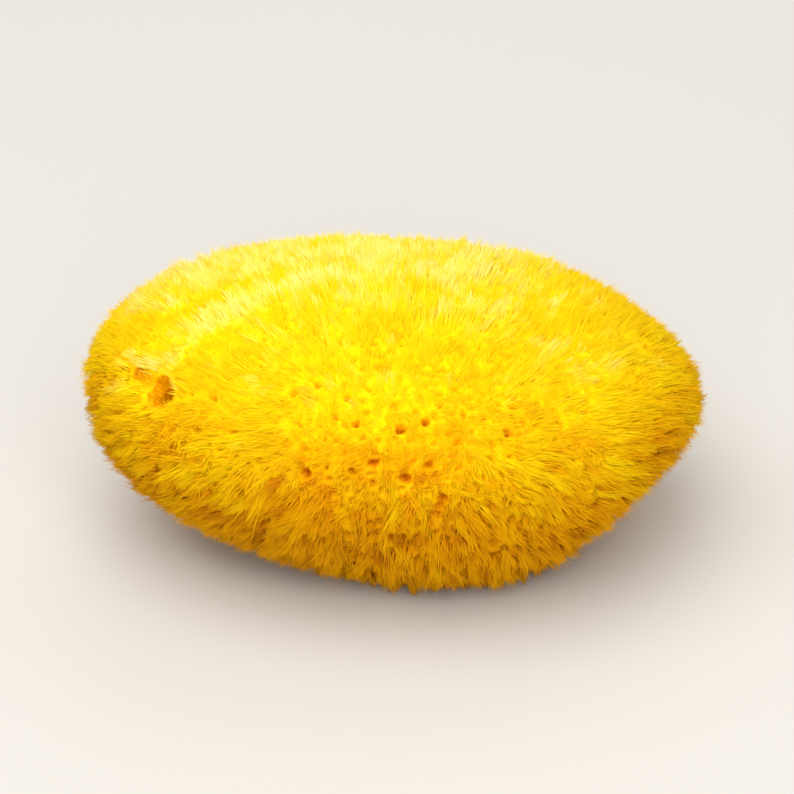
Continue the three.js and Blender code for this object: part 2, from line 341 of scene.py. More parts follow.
# The body under the nap.
bodyCore = {
    "cells": 104,  # squares along each side of the six-sided globe that it is made from
    "under": (1.35, 0.55),  # mm that it lies below the smooth form, low down and on top
    "underSpan": (0.45, 0.8),  # heights, as shares, from the one to the other
    "roundRim": 0.7,  # mm over which the side turns into the cut
    "poreDepth": 2.6,  # depth of a pore over its radius
    "poreReach": 1.6,  # mm, more than any pore's radius
    "poreBowl": 0.7,  # how steep its wall is, less being steeper
    "wobble": 0.42,  # how uneven its rim is, as a share of its radius
    "wobbleSize": 0.9,
    "poreShade": (0.3, 0.4),  # how dark a small pore is, and what a large one adds
    "shadeDepth": 1.8,  # mm deep at which it is as dark as that
    "shadeMost": 0.75,
    "openingShade": (0.25, 0.5),  # how dark the skeleton is round a small opening and round a wide one
    "openingShadeSpan": (0.8, 2.2),  # throats from its middle over which that fades
    "furrowShade": 0.4,
    "furrowWidth": 1.4,  # of the furrow between the two openings on the left
    "furrowDepth": 1.7,
    "grainSize": 1.3,
    "grain": 0.28,
    "cutPoreSpacing": 2.5,
    "cutPore": (0.5, 1.5),  # radius in mm
    "cutPoreDepth": 2.4,
    "cutPoreBowl": 0.6,
    "cutPoreShade": 1.6,  # mm deep at which it is darkest
    "cutShade": 0.35,
    "cutInside": 2.4,  # mm that its pores keep from the rim
    "cutGrain": 0.9,
    "cutSunk": 0.35,  # mm that the cut lies above the trimmed fibre ends
}


def sixSidedGlobe(cells):
    steps = np.tan(np.linspace(-math.pi / 4, math.pi / 4, cells + 1))
    u, v = np.meshgrid(steps, steps, indexing="ij")
    one = np.ones_like(u)
    sides = [(one, u, v), (-one, v, u), (v, one, u), (u, -one, v), (u, v, one), (v, u, -one)]
    points = np.concatenate([np.stack(side, axis=-1).reshape(-1, 3) for side in sides])
    row = np.arange(cells * (cells + 1)).reshape(cells, cells + 1)[:, :cells].ravel()
    square = np.stack([row, row + cells + 1, row + cells + 2, row + 1], axis=1)
    faces = np.concatenate([square + side * (cells + 1) ** 2 for side in range(6)])
    return withoutDoubles(unit(points), faces, 6)


def depthUnder(form, points):
    # how far below the smooth form the body lies there
    return between(bodyCore["under"], smoothStep(*bodyCore["underSpan"], heightShare(form, points)))


def softLeast(a, b, width):
    blend = np.clip(0.5 + (b - a) / (2 * width), 0, 1)
    return b + (a - b) * blend - width * blend * (1 - blend)


def spacedOut(points, gap):
    # keeps the points, in their order, that are at least the gap from all those kept before
    kept = []
    cells = {}
    for i, p in enumerate(points):
        cell = tuple(int(c) for c in np.floor(p / gap))
        around = itertools.product(*((c - 1, c, c + 1) for c in cell))
        if all(((points[j] - p) ** 2).sum() >= gap * gap for near in around for j in cells.get(near, ())):
            cells.setdefault(cell, []).append(i)
            kept.append(i)
    return np.array(kept)


def placesOnCut(form, tries, inside, gap):
    # places on the cut that keep off its rim and from each other
    scatter = between((form["low"], form["high"]), rng.random((tries, 3)))
    scatter[:, 2] = form["low"][2]
    offsets = scatter - form["middle"]
    surface, _ = onForm(form, unit(offsets))
    room = lengthsOf(surface - form["middle"]) - lengthsOf(offsets)
    scatter = scatter[room > inside]
    return scatter[spacedOut(scatter, gap)]


def cutPoresFor(form):
    places = placesOnCut(form, 4000, bodyCore["cutInside"], bodyCore["cutPoreSpacing"])
    radii = between(bodyCore["cutPore"], rng.random(len(places)) ** 2)
    return {"places": places, "tree": treeOf(places), "radii": radii}


def coreSurface(form):
    directions, faces = sixSidedGlobe(bodyCore["cells"])
    surface, normals = onForm(form, directions)
    middle = form["middle"]
    under = depthUnder(form, surface)
    side = lengthsOf(surface - middle) - under
    down = np.minimum(directions[:, 2], -1e-3)
    cut = np.where(directions[:, 2] < -1e-3, (form["low"][2] - middle[2]) / down, 1e3)
    radii = softLeast(side, cut, bodyCore["roundRim"])
    onCut = smoothStep(-0.6, 0.6, side - cut)[:, None]
    facing = unit(normals * (1 - onCut) + np.array([0, 0, -1.0]) * onCut)
    points = middle + directions * radii[:, None]
    return points, faces, facing, onCut[:, 0], under


def furrowGap(points, pores):
    # how far each point is from the line between the two openings on the left
    left = sorted(pores["openings"], key=lambda opening: opening["mouth"][0])[:2]
    return segmentGap(points, *(opening["mouth"] for opening in left))


def hollows(points, pores, wobble, bowl):
    # round hollows in the pores, and the radius of the pore that each point is deepest inside
    radii = np.zeros(len(points))
    shares = np.full(len(points), 9.0)  # distance over that radius, so this is far outside
    for i, p in enumerate(points):
        for _, pore, gap in pores["tree"].find_range(Vector(p), bodyCore["poreReach"]):
            radius = pores["radii"][pore]
            if radius > 0 and gap / radius < shares[i]:
                shares[i] = gap / radius
                radii[i] = radius
    return np.clip(1 - (shares * wobble) ** 2, 0, 1) ** bowl * radii, radii


def shadeOf(points, pores, inFurrow, pit):
    # painted shade: the openings and the furrow are dark too
    for opening in pores["openings"]:
        gap = lengthsOf(points - opening["mouth"])
        fade = 1 - smoothStep(*bodyCore["openingShadeSpan"], gap / opening["throat"])
        pit = np.maximum(pit, between(bodyCore["openingShade"], wideness(opening)) * fade)
    return np.maximum(pit, bodyCore["furrowShade"] * inFurrow)


def buildCore(form, pores):
    points, faces, facing, onCut, under = coreSurface(form)
    probe = points + facing * under[:, None]
    wobble = 1 + bodyCore["wobble"] * cloudAt(points, bodyCore["wobbleSize"], 4)
    bowl, radii = hollows(probe, pores, wobble, bodyCore["poreBowl"])
    sink = bowl * bodyCore["poreDepth"] * (1 - onCut)
    cutPores = cutPoresFor(form)
    cutBowl, _ = hollows(points, cutPores, 1, bodyCore["cutPoreBowl"])
    cutSink = cutBowl * bodyCore["cutPoreDepth"] * onCut
    grain = cloudAt(points, bodyCore["grainSize"], 3)
    pitted = np.clip(np.abs(grain) * 1.6, 0, 1) * bodyCore["cutGrain"] + bodyCore["cutSunk"]
    rough = bodyCore["grain"] * grain * (1 - onCut) - pitted * onCut

    # painted shade: pores, the openings, the furrow and the cut are coloured darker through the pit mask
    small, more = bodyCore["poreShade"]
    shade = sink / bodyCore["shadeDepth"] * (small + more * smoothStep(0.35, 0.7, radii))
    pit = np.clip(shade, 0, bodyCore["shadeMost"]) + cutSink / bodyCore["cutPoreShade"]
    inFurrow = np.exp(-(furrowGap(probe, pores) / bodyCore["furrowWidth"]) ** 2)
    pit = shadeOf(points, pores, inFurrow, np.clip(pit + bodyCore["cutShade"] * onCut, 0, 1))
    sink = sink + bodyCore["furrowDepth"] * inFurrow
    points = points + facing * (rough - sink - cutSink)[:, None]
    points[:, 2] = np.maximum(points[:, 2], form["low"][2])
    # the body's paleness carries the painted light of tonesAt, and painted shade darkens it further in pits
    paleness = tonesAt(form, points, facing) * (1 - 0.85 * pit)
    return meshFrom("body", points, faces, pit=pit, paleness=paleness), cutPores


# The openings, cut down into the body.
funnelShape = {
    "sides": 40,
    "rings": 26,
    "above": 3.0,  # mm that the cutter stands above the surface
    "flare": (1.15, 1.75),  # mouth over throat, of a small opening and of a wide one
    "wideFrom": (0.9, 1.3),  # throats in mm from a small opening to a wide one
    "flareDepth": 2.6,
    "taper": 0.55,  # how much narrower it is at its end
    "taperFrom": 0.75,  # share of its depth
    "wander": 0.14,  # unevenness over the throat's radius
    "levelReach": 6,  # mm along its axis in which places count as near it
}


def wideness(opening):
    # 0 for a small opening, 1 for a wide one
    return smoothStep(*funnelShape["wideFrom"], opening["throat"])


def mouthFlare(opening):
    return between(funnelShape["flare"], wideness(opening))


def fromAxis(points, opening):
    # which points are near an opening's level, their ways out from its axis, and how far out they are
    offset = points - opening["mouth"]
    level = offset @ opening["axis"]
    flat = offset - level[:, None] * opening["axis"]
    return np.abs(level) < funnelShape["levelReach"], flat, lengthsOf(flat)


def funnelCutter(opening, number):
    depth = np.linalg.norm(opening["mouth"] - opening["end"])
    axis = opening["axis"]
    across = unit(np.cross(axis, [0.3, -0.2, 0.9]))
    along = np.cross(axis, across)
    sides, rings, wander = (funnelShape[key] for key in ("sides", "rings", "wander"))
    points = []
    for level in np.linspace(funnelShape["above"], -depth, rings):
        centre = opening["mouth"] + axis * level
        spread = np.exp(level / funnelShape["flareDepth"]) if level < 0 else 1 + 0.25 * level
        radius = opening["throat"] * (1 + (mouthFlare(opening) - 1) * spread)
        radius *= 1 - funnelShape["taper"] * smoothStep(funnelShape["taperFrom"], 1, -level / depth)
        for turn in np.linspace(0, 2 * math.pi, sides, endpoint=False):
            spoke = (across * math.cos(turn) + along * math.sin(turn)) * radius
            bump = noise.noise(Vector(centre + spoke) / 1.5 + Vector((number * 7.1, 0, 0))) * wander * 1.6
            bump += noise.noise(Vector(centre + spoke) / 0.7) * wander * 0.6
            points.append(centre + spoke * (1 + bump))
    points.append(opening["mouth"] + axis * funnelShape["above"])
    points.append(opening["end"] - axis * 0.3)
    faces = []
    for ring in range(rings - 1):
        for side in range(sides):
            a, b = ring * sides + side, ring * sides + (side + 1) % sides
            faces += [(a, a + sides, b + sides), (a, b + sides, b)]
    top, bottom = rings * sides, rings * sides + 1
    for side in range(sides):
        faces.append((top, side, (side + 1) % sides))
        faces.append((bottom, (rings - 1) * sides + (side + 1) % sides, (rings - 1) * sides + side))
    points = np.array(points)
    # painted shade: the opening's wall is coloured darker the deeper and wider it is
    deep = smoothStep(1, -0.7 * depth, (points - opening["mouth"]) @ axis)
    wide = wideness(opening)
    pit = 0.15 + 0.3 * deep + wide * (0.5 + 0.05 * deep)
    return points, np.array(faces), pit, 0.6 - 0.45 * deep - 0.2 * wide


def cutOpenings(core, openings):
    for number, opening in enumerate(openings):
        points, faces, pit, paleness = funnelCutter(opening, number)
        cutter = meshFrom("cutter", points, faces, pit=pit, paleness=paleness)
        cut = core.modifiers.new("opening", "BOOLEAN")
        cut.operation = "DIFFERENCE"
        cut.solver = "EXACT"
        cut.object = cutter
        bpy.context.view_layer.objects.active = core
        bpy.ops.object.modifier_apply(modifier=cut.name)
        bpy.data.objects.remove(cutter)


# How pale or amber the skeleton is from place to place: 0 amber, 1 palest. Much of it is painted light:
# painted shade lower down and in the hollow, painted highlight on top and along the fold.
toneMap = {
    "low": 0.1,
    # painted shade: lower down the skeleton is coloured darker and more amber, as the low part lies in
    # shade
    "byHeight": 0.5,
    "paintedHighlight": 0.22,  # painted highlight: added where it faces up and back towards the light
    "paintedHighlightFrom": (-0.15, 0.35, 0.92),
    "paintedHighlightSpan": (0.78, 1),
    # turn and rise along the pale fold, and along the hollow behind it
    "fold": [(-68, 22.5), (-72.8, 35.9), (-75.5, 44.6), (-77.6, 57.8), (-88.9, 68.7)],
    "hollow": [(-80.9, 24.9), (-79.3, 29.5), (-87.5, 40.1), (-92.2, 53.8), (-110, 66)],
    "foldWidth": 1.9,
    # painted highlight along the fold's crest and painted shade in the hollow behind it
    "foldTone": 0.3,
    "hollowTone": -0.22,
    "clouds": [(14, 11, 0.09), (4, 12, 0.1), (1.7, 13, 0.05)],  # size in mm, seed, strength
    # turn, rise, size in mm, tone
    "patches": [(-24, 2, 7, -0.1), (4, 20, 8, -0.06), (-62, 28, 12, -0.08), (-3, 61, 9, -0.06)],
}


def placeOn(form, turnAndRise):
    turn, rise = (math.radians(a) for a in turnAndRise)
    toward = Vector((math.sin(turn) * math.cos(rise), -math.cos(turn) * math.cos(rise), math.sin(rise)))
    return np.array(form["tree"].ray_cast(Vector(form["middle"]), toward)[0])


def lineShare(form, points, line):
    # 1 along a line on the form, and 0 away from it
    stops = [placeOn(form, stop) for stop in toneMap[line]]
    least = np.full(len(points), 1e3)
    for a, b in zip(stops, stops[1:]):
        least = np.minimum(least, segmentGap(points, a, b))
    return np.exp(-(least / toneMap["foldWidth"]) ** 2)


def tonesAt(form, points, normals):
    # painted shade by height, painted highlight where it faces the light, and the fold's painted highlight
    # and the hollow's painted shade
    lit = normals @ unit(np.array(toneMap["paintedHighlightFrom"]))
    tones = toneMap["low"] + toneMap["byHeight"] * smoothStep(0.1, 0.95, heightShare(form, points))
    tones += toneMap["paintedHighlight"] * smoothStep(*toneMap["paintedHighlightSpan"], lit)
    for line in ("fold", "hollow"):
        tones += toneMap[line + "Tone"] * lineShare(form, points, line)
    tones += sum(cloudAt(points, size, seed) * strength for size, seed, strength in toneMap["clouds"])
    for turn, rise, size, change in toneMap["patches"]:
        gap = lengthsOf(points - placeOn(form, (turn, rise)))
        tones += change * np.exp(-(gap / size) ** 2)
    return tones


# The nap: tufts of fine fibres, each tuft drawn to a soft point.
nap = {
    "gap": 1.08,  # least mm between tufts
    "tries": 60000,
    "fibres": 19,  # in a tuft, with those that fill the ground round it
    "ground": 7,  # how many of them stand in the ground
    "spread": 0.68,  # mm from a tuft's middle to its outer fibres' roots
    "groundSpread": 0.75,  # mm beyond that
    "drawIn": (0.7, 1.0),  # the same spread at the tips, as a share, on top
    "drawInBelow": (0.45, 0.95),
    "root": 1.8,  # mm that the roots lie below the smooth form
    "rise": (1.1, 2.1),  # mm that the tips stand above it
    "thick": (0.075, 0.115),  # radius of a fibre where it is thickest
    "parting": (4, 26.5),  # turn and rise in degrees of the place that the nap lies away from
    "layFrom": (2, 17),  # mm from there over which it comes to lean
    "lay": 1.0,  # how far it leans that way, as a share of its length outward
    "layFades": (35, 80),  # mm over which it leans less again
    "layLost": 0.35,
    "topFacing": (0.2, 0.9),  # how far up a place faces where it counts as on top
    "swirl": 0.28,  # lean that turns slowly from place to place
    "swirlSize": 7,
    "loose": (0.26, 0.12),  # how far each tuft leans its own way, low down and on top
    "stray": (0.19, 0.1),  # and each fibre
    "lockGap": 2.3,  # mm between the middles of locks, into which neighbouring tufts lie together
    "lockStretch": 0.55,  # their width over their length, which runs with the lay
    "lock": (0.32, 0.05),  # how far tufts lean to the middle of their lock, low down and on top
    "lockReach": 1.15,
    "lockDrop": 0.8,  # mm by which a tuft at a lock's edge is shorter, low down
    # painted shade: tufts at a lock's edge are coloured darker, as in the groove between locks
    "lockEdgeShade": -0.2,
    "dipSize": 2.7,  # mm across the soft dips in the low part
    "dipFrom": (0.0, 0.6),
    "dipDrop": 1.15,
    # painted shade: tufts in a dip are coloured darker
    "dipTone": -0.25,
    "dipShade": 0.7,  # painted shade: how far its fibres keep the darker colours of their roots
    # turn and rise of the plain dips of the front, and their size in mm
    "dips": [(-25.8, 2.1), (-29.2, 6.6), (-33.7, -6.5), (-15.7, -11.6), (-45.7, -10.4), (14.6, 1),
             (33.2, -10.3), (-19.4, 8), (-6, 16), (4, 12), (-23, 11), (11, 5), (-14, -8), (25, -11)],
    "dip": 1.1,
    "openUp": 0.4,  # how far the pores low down open upward
    "openWide": 0.3,  # and how much wider the large ones there open
    "poreGap": 0.42,  # mm kept clear of tufts' middles round a pore
    "openingGap": 0.45,  # and round an opening
    "channel": 1.25,  # and along the furrow between the openings on the left
    "furrow": 0.85,  # mm kept clear of fibres there
    "rimWidth": 1.3,  # of the ring of longer tufts round an opening
    "rimRise": 0.6,
    "foldRise": 0.8,
    "bendAt": 0.45,  # share of a fibre's length
    "bend": 0.4,  # share of its lean that it has below the bend
    "bodyShading": 1.3,  # how much of a fibre's shading comes from the body under it
    "floorGap": 0.08,
    "sectors": 5,
}


def scatterOn(form, count):
    corners = form["points"][form["faces"]]
    areas = lengthsOf(np.cross(corners[:, 1] - corners[:, 0], corners[:, 2] - corners[:, 0]))
    chosen = rng.choice(len(areas), size=count, p=areas / areas.sum())
    mix = rng.dirichlet((1, 1, 1), size=count)
    points = np.einsum("ij,ijk->ik", mix, corners[chosen])
    normals = unit(np.einsum("ij,ijk->ik", mix, form["normals"][form["faces"][chosen]]))
    above = points[:, 2] > form["low"][2] + 0.2
    return points[above], normals[above]


def openWidth(opening):
    # mm from an opening's axis to its rim at the surface
    return opening["throat"] * mouthFlare(opening) * 0.88


def keepPoresOpen(points, normals, pores):
    # tufts in a pore or an opening move out to its rim, and stand up there
    away = np.zeros_like(points)
    upright = np.zeros(len(points))
    rim = np.zeros(len(points))
    for i, p in enumerate(points):
        for place, pore, gap in pores["tree"].find_range(Vector(p), 2.6):
            radius = pores["radii"][pore]
            if radius < poreSizes["least"]:
                continue
            wall = radius + nap["poreGap"]
            upright[i] = max(upright[i], 1 - smoothStep(wall, wall + 1.4, gap))
            if gap < wall:
                out = p - np.array(place)
                out -= normals[i] * out.dot(normals[i])
                away[i] += out / max(np.linalg.norm(out), 1e-6) * (wall - gap)
    moved = points + away
    keep = np.ones(len(points), dtype=bool)
    for opening in pores["openings"]:
        near, flat, gap = fromAxis(moved, opening)
        wall = openWidth(opening) + nap["openingGap"]
        keep &= ~(near & (gap < wall))
        ring = near & (gap < wall + nap["rimWidth"])
        rim = np.maximum(rim, np.where(ring, 1.0, 0) * min(1, opening["throat"] / 1.3))
        upright = np.maximum(upright, np.where(near, 1 - smoothStep(wall, wall + 2.5, gap), 0))
        away += np.where(ring[:, None], flat / np.maximum(gap, 1e-6)[:, None] * 0.5, 0)
    keep &= furrowGap(moved, pores) > nap["channel"]
    return moved[keep], normals[keep], away[keep], upright[keep], rim[keep]


def toLocks(points, flow, normals):
    # from each tuft to the middle line of its lock, and its distance from that line
    tree = treeOf(points[spacedOut(points, nap["lockGap"])])
    toward = np.zeros_like(points)
    for i, p in enumerate(points):
        offsets = np.array([found[0] for found in tree.find_n(Vector(p), 5)]) - p
        offsets -= np.outer(offsets @ normals[i], normals[i])
        across = offsets - np.outer(offsets @ flow[i], flow[i])
        gaps = (across ** 2).sum(axis=1) + (nap["lockStretch"] * (offsets @ flow[i])) ** 2
        toward[i] = across[gaps.argmin()]
    return toward, lengthsOf(toward)


def tuftShapes(form, points, normals, away, upright, rim, fold):
    apart = points - placeOn(form, nap["parting"])
    far = lengthsOf(apart)
    flow = unit(apart - normals * dots(apart, normals)[:, None] + 1e-9)
    swirl = np.stack([cloudAt(points, nap["swirlSize"], seed) for seed in (5, 6, 7)], axis=1) * nap["swirl"]
    onTop = smoothStep(*nap["topFacing"], normals[:, 2])
    loose = rng.normal(0, 1, points.shape) * between(nap["loose"], onTop)[:, None]
    lay = nap["lay"] * (1 - 0.2 * onTop) * smoothStep(*nap["layFrom"], far)
    lay *= 1 - nap["layLost"] * smoothStep(*nap["layFades"], far)
    lay *= (1 - 0.8 * upright) * (1 - 0.5 * np.abs(fold))
    lean = normals + flow * lay[:, None] + swirl + loose + away * 0.3
    toward, aside = toLocks(points, flow, normals)
    lean += toward * between(nap["lock"], onTop)[:, None]
    edge = np.clip(aside / nap["lockReach"], 0, 1) ** 2 * (1 - onTop)
    lean[:, 2] -= 0.06
    share = np.clip(0.5 + 0.3 * cloudAt(points, 5, 8) + rng.normal(0, 0.25, len(points)), 0, 1)
    dip = dipsAt(form, points)
    rises = between(nap["rise"], share) + rim * nap["rimRise"] + fold * nap["foldRise"]
    rises -= edge * nap["lockDrop"] + dip * nap["dipDrop"]
    return lean, rises, nap["lockEdgeShade"] * edge + nap["dipTone"] * dip, 1 - nap["dipShade"] * dip


def dipsAt(form, points):
    # 0 on the plain nap, towards 1 in a dip
    lowDown = 1 - smoothStep(0.3, 0.55, heightShare(form, points))
    dip = smoothStep(*nap["dipFrom"], cloudAt(points, nap["dipSize"], 31)) * lowDown
    for place in nap["dips"]:
        gap = lengthsOf(points - placeOn(form, place))
        dip = np.maximum(dip, np.exp(-(gap / nap["dip"]) ** 2))
    return dip


def fibreArrays(points, normals, leans, rises, tones, unshaded, drawIn, onTop):
    tufts, fibres = len(points), nap["fibres"]
    across = unit(np.cross(normals, rng.normal(0, 1, points.shape)))
    along = np.cross(normals, across)
    turns = rng.random((tufts, fibres)) * 2 * math.pi
    ground = nap["ground"] * onTop[:, None]
    inner = fibres - ground
    steps = np.arange(fibres) + rng.random((tufts, fibres))
    radii = np.sqrt(np.minimum(steps / inner, 1)) * nap["spread"]
    radii += np.maximum(steps - inner, 0) / np.maximum(ground, 1) * nap["groundSpread"]
    sideways = across[:, None] * np.cos(turns)[..., None] + along[:, None] * np.sin(turns)[..., None]
    offsets = sideways * radii[..., None]
    isGround = (steps > inner)[..., None]
    outer = np.minimum(radii / nap["spread"], 1) ** 2
    lengths = nap["root"] + rises[:, None] * (1 - 0.5 * outer) + rng.normal(0, 0.2, (tufts, fibres))
    drawIn = np.where(isGround, 1.0, drawIn[:, None, None])
    stray = between(nap["stray"], onTop)[:, None, None]
    heading = leans[:, None] + rng.normal(0, 1, (tufts, fibres, 3)) * stray
    up = np.einsum("tfk,tk->tf", heading, normals)
    heading = heading / np.maximum(up, 0.45)[..., None]  # so that a length is a height above the root
    roots = points[:, None] + offsets - normals[:, None] * nap["root"]
    bend, bendAt = nap["bend"], nap["bendAt"]
    lower = normals[:, None] * (1 - bend) + heading * bend
    middles = roots + lower * lengths[..., None] * bendAt - offsets * 0.2 * (1 - drawIn)
    tips = roots + (lower * bendAt + heading * (1 - bendAt)) * lengths[..., None] - offsets * (1 - drawIn)
    thick = rng.uniform(*nap["thick"], (tufts, fibres))
    tone = tones[:, None] + rng.normal(0, 1, (tufts, fibres)) * (0.05 - 0.02 * onTop)[:, None]
    unshaded = np.clip(unshaded[:, None] + rng.normal(0, 0.12, (tufts, fibres)) * (unshaded < 0.95)[:, None], 0.2, 1)
    arrays = (roots, middles, tips, thick, tone, unshaded)
    return (a.reshape(-1, a.shape[-1]) if a.ndim == 3 else a.ravel() for a in arrays)


def clearOfPores(pores, furrow, roots, middles, tips, thick, tone, unshaded):
    # leaves out the fibres that stand in, or lean far over, a pore, an opening or the furrow
    kept = np.ones(len(roots), dtype=bool)
    holes = []
    for place, radius in zip(pores["places"], pores["radii"]):
        if radius >= poreSizes["least"]:
            out = unit(place - form["middle"])
            lowDown = 1 - smoothStep(0.1, 0.5, out[2])
            axis = unit(out + np.array([0, 0, nap["openUp"] * lowDown]))
            wide = radius * (1 + nap["openWide"] * lowDown * (radius >= poreSizes["front"][0]))
            holes.append((place, axis, wide * 0.95, wide * 0.8))
    for opening in pores["openings"]:
        clear = openWidth(opening)
        holes.append((opening["mouth"], opening["axis"], clear * 1.04, clear))
    for place, axis, atRoot, atTip in holes:
        beyond = (middles + tips) / 2
        for ends, reach in ((roots, atRoot), (middles, atRoot), (beyond, atTip), (tips, atTip)):
            offset = ends - place
            level = offset @ axis
            apart = dots(offset, offset) - level ** 2
            kept &= (apart > reach * reach) | (np.abs(level) > 5)
    for ends in (middles, (middles + tips) / 2, tips):
        kept &= furrowGap(ends, pores) > furrow
    return (a[kept] for a in (roots, middles, tips, thick, tone, unshaded))


def normalsNear(form, points):
    tree = form["pointTree"]
    return form["normals"][[tree.find(Vector(p))[1] for p in points]]


def fibreMesh(name, form, roots, middles, tips, thick, tone, unshaded, floor):
    # each fibre is a slim closed spindle, bent where it is thickest; one with painted shade (unshaded below
    # 1) keeps its root's darker colours
    count = len(roots)
    aim = unit(tips - roots)
    first = unit(np.cross(aim, rng.normal(0, 1, aim.shape)))
    second = np.cross(aim, first)
    ring = []
    for k in range(3):
        turn = k * 2 * math.pi / 3
        ring.append(middles + (first * math.cos(turn) + second * math.sin(turn)) * thick[:, None])
    points = np.stack([roots] + ring + [tips], axis=1)
    points[..., 2] = np.maximum(points[..., 2], floor + nap["floorGap"])
    sides = []
    for k in range(3):
        n = (k + 1) % 3
        sides += [(0, n + 1, k + 1), (k + 1, n + 1, 4)]
    faces = np.array(sides)[None] + np.arange(count)[:, None, None] * 5
    along = np.array([0.02, 0.45, 0.45, 0.45, 0.98]) * unshaded[:, None]
    nudge = np.array([0, -0.003, 0, 0.003, 0])
    tones = np.clip(tone, 0.02, 0.98)[:, None] + nudge
    piece = meshFrom(name, points.reshape(-1, 3), faces.reshape(-1, 3), along.ravel(), tones.ravel())
    # light goes through fibres this thin, so they are shaded mostly as the body under them is
    under = normalsNear(form, roots)[:, None] * nap["bodyShading"]
    shading = np.repeat(under, 5, axis=1)
    shading[:, 1:4] += unit(points[:, 1:4] - middles[:, None])
    shading = unit(shading).reshape(-1, 3)
    piece.data.normals_split_custom_set_from_vertices(shading.tolist())
    return piece


# Short fibres that cover the body where the nap stands back, round the pores and the openings.
undercoat = {
    "tries": 90000,
    "gap": 0.36,
    "reach": 1.25,  # mm beyond a pore's rim
    "openingReach": 2.2,
    "furrowReach": 1.7,
    "root": 0.35,  # mm that the roots lie below the body's face
    "height": (0.5, 1.25),  # mm above the body
    "thick": (0.06, 0.1),
    "drape": 0.7,
    "unshaded": (0.4, 0.9),  # how far up the colours their tips reach; below 1 is painted shade round the pores and openings
}


def bareness(points, pores):
    # which points lie in a bare ring, and the ways out from its pore or opening
    out = np.zeros_like(points)
    bare = np.zeros(len(points), dtype=bool)
    for i, p in enumerate(points):
        inside = False
        for place, pore, gap in pores["tree"].find_range(Vector(p), 2.5):
            radius = pores["radii"][pore]
            if radius < poreSizes["least"]:
                continue
            inside |= gap < radius * 0.85
            if gap < radius + undercoat["reach"]:
                bare[i] = True
                out[i] += (p - np.array(place)) / max(gap, 0.1)
        bare[i] &= not inside
    bare |= furrowGap(points, pores) < undercoat["furrowReach"]
    for opening in pores["openings"]:
        near, flat, gap = fromAxis(points, opening)
        ring = near & (gap < openWidth(opening) + undercoat["openingReach"])
        bare |= ring
        bare &= ~(near & (gap < openWidth(opening) * 0.9))
        out += np.where(ring[:, None], flat / np.maximum(gap, 0.1)[:, None], 0)
    return bare, out


def buildUndercoat(form, pores):
    points, normals = scatterOn(form, undercoat["tries"])
    bare, out = bareness(points, pores)
    points, normals, out = points[bare], normals[bare], out[bare]
    kept = spacedOut(points, undercoat["gap"])
    points, normals, out = points[kept], normals[kept], out[kept]
    heights = rng.uniform(*undercoat["height"], len(points))
    outward = rng.normal(0.25, 0.35, (len(points), 1))
    lean = normals + (rng.normal(0, 0.45, points.shape) + out * outward) * undercoat["drape"]
    roots = points - normals * (depthUnder(form, points) + undercoat["root"])[:, None]
    lengths = (heights + undercoat["root"])[:, None]
    middles = roots + (normals * 0.55 + lean * 0.45) * lengths * 0.5
    tips = roots + lean * lengths
    thick = rng.uniform(*undercoat["thick"], len(points))
    tone = tonesAt(form, points, normals) - 0.04 + rng.normal(0, 0.12, len(points))
    # painted shade round the pores and openings, none in the furrow
    unshaded = rng.uniform(*undercoat["unshaded"], len(points))
    unshaded = np.where(furrowGap(points, pores) < undercoat["furrowReach"] + 0.6, 1, unshaded)
    arrays = clearOfPores(pores, -1, roots, middles, tips, thick, tone, unshaded)
    piece = fibreMesh("undercoat", form, *arrays, form["low"][2])
    print(f"undercoat: {len(piece.data.polygons)} faces")
    return piece


# The cut: fibre ends trimmed level where the sponge was cut from its holdfast.
stubble = {
    "tries": 150000,
    "gap": 0.3,
    "root": 1.7,  # mm up inside the body
    "thick": (0.08, 0.13),
    "slant": 0.35,
    "keepOff": 0.9,  # mm inside the smooth form's rim
}


def buildStubble(form, cutPores):
    floor = form["low"][2]
    tips = placesOnCut(form, stubble["tries"], stubble["keepOff"], stubble["gap"])
    gone = np.zeros(len(tips), dtype=bool)
    for i, p in enumerate(tips):
        for _, pore, gap in cutPores["tree"].find_range(Vector(p), 1.5):
            gone[i] |= gap < cutPores["radii"][pore] * 1.1
    tips = tips[~gone]
    tips[:, 2] = floor + 0.02
    up = np.array([0, 0, 1.0]) + rng.normal(0, stubble["slant"], tips.shape)
    up[:, 2] = 1
    roots = tips + up * stubble["root"]
    tips = tips - up * 0.35
    middles = roots * 0.35 + tips * 0.65 + rng.normal(0, 0.08, tips.shape)
    thick = rng.uniform(*stubble["thick"], len(tips))
    tone = 0.3 + 0.2 * cloudAt(tips, 5, 21) + rng.normal(0, 0.12, len(tips))
    arrays = (roots, middles, tips, thick, tone, np.ones(len(tone)))
    piece = fibreMesh("stubble", form, *arrays, floor - nap["floorGap"])
    print(f"stubble: {len(tips)} fibres")
    return piece


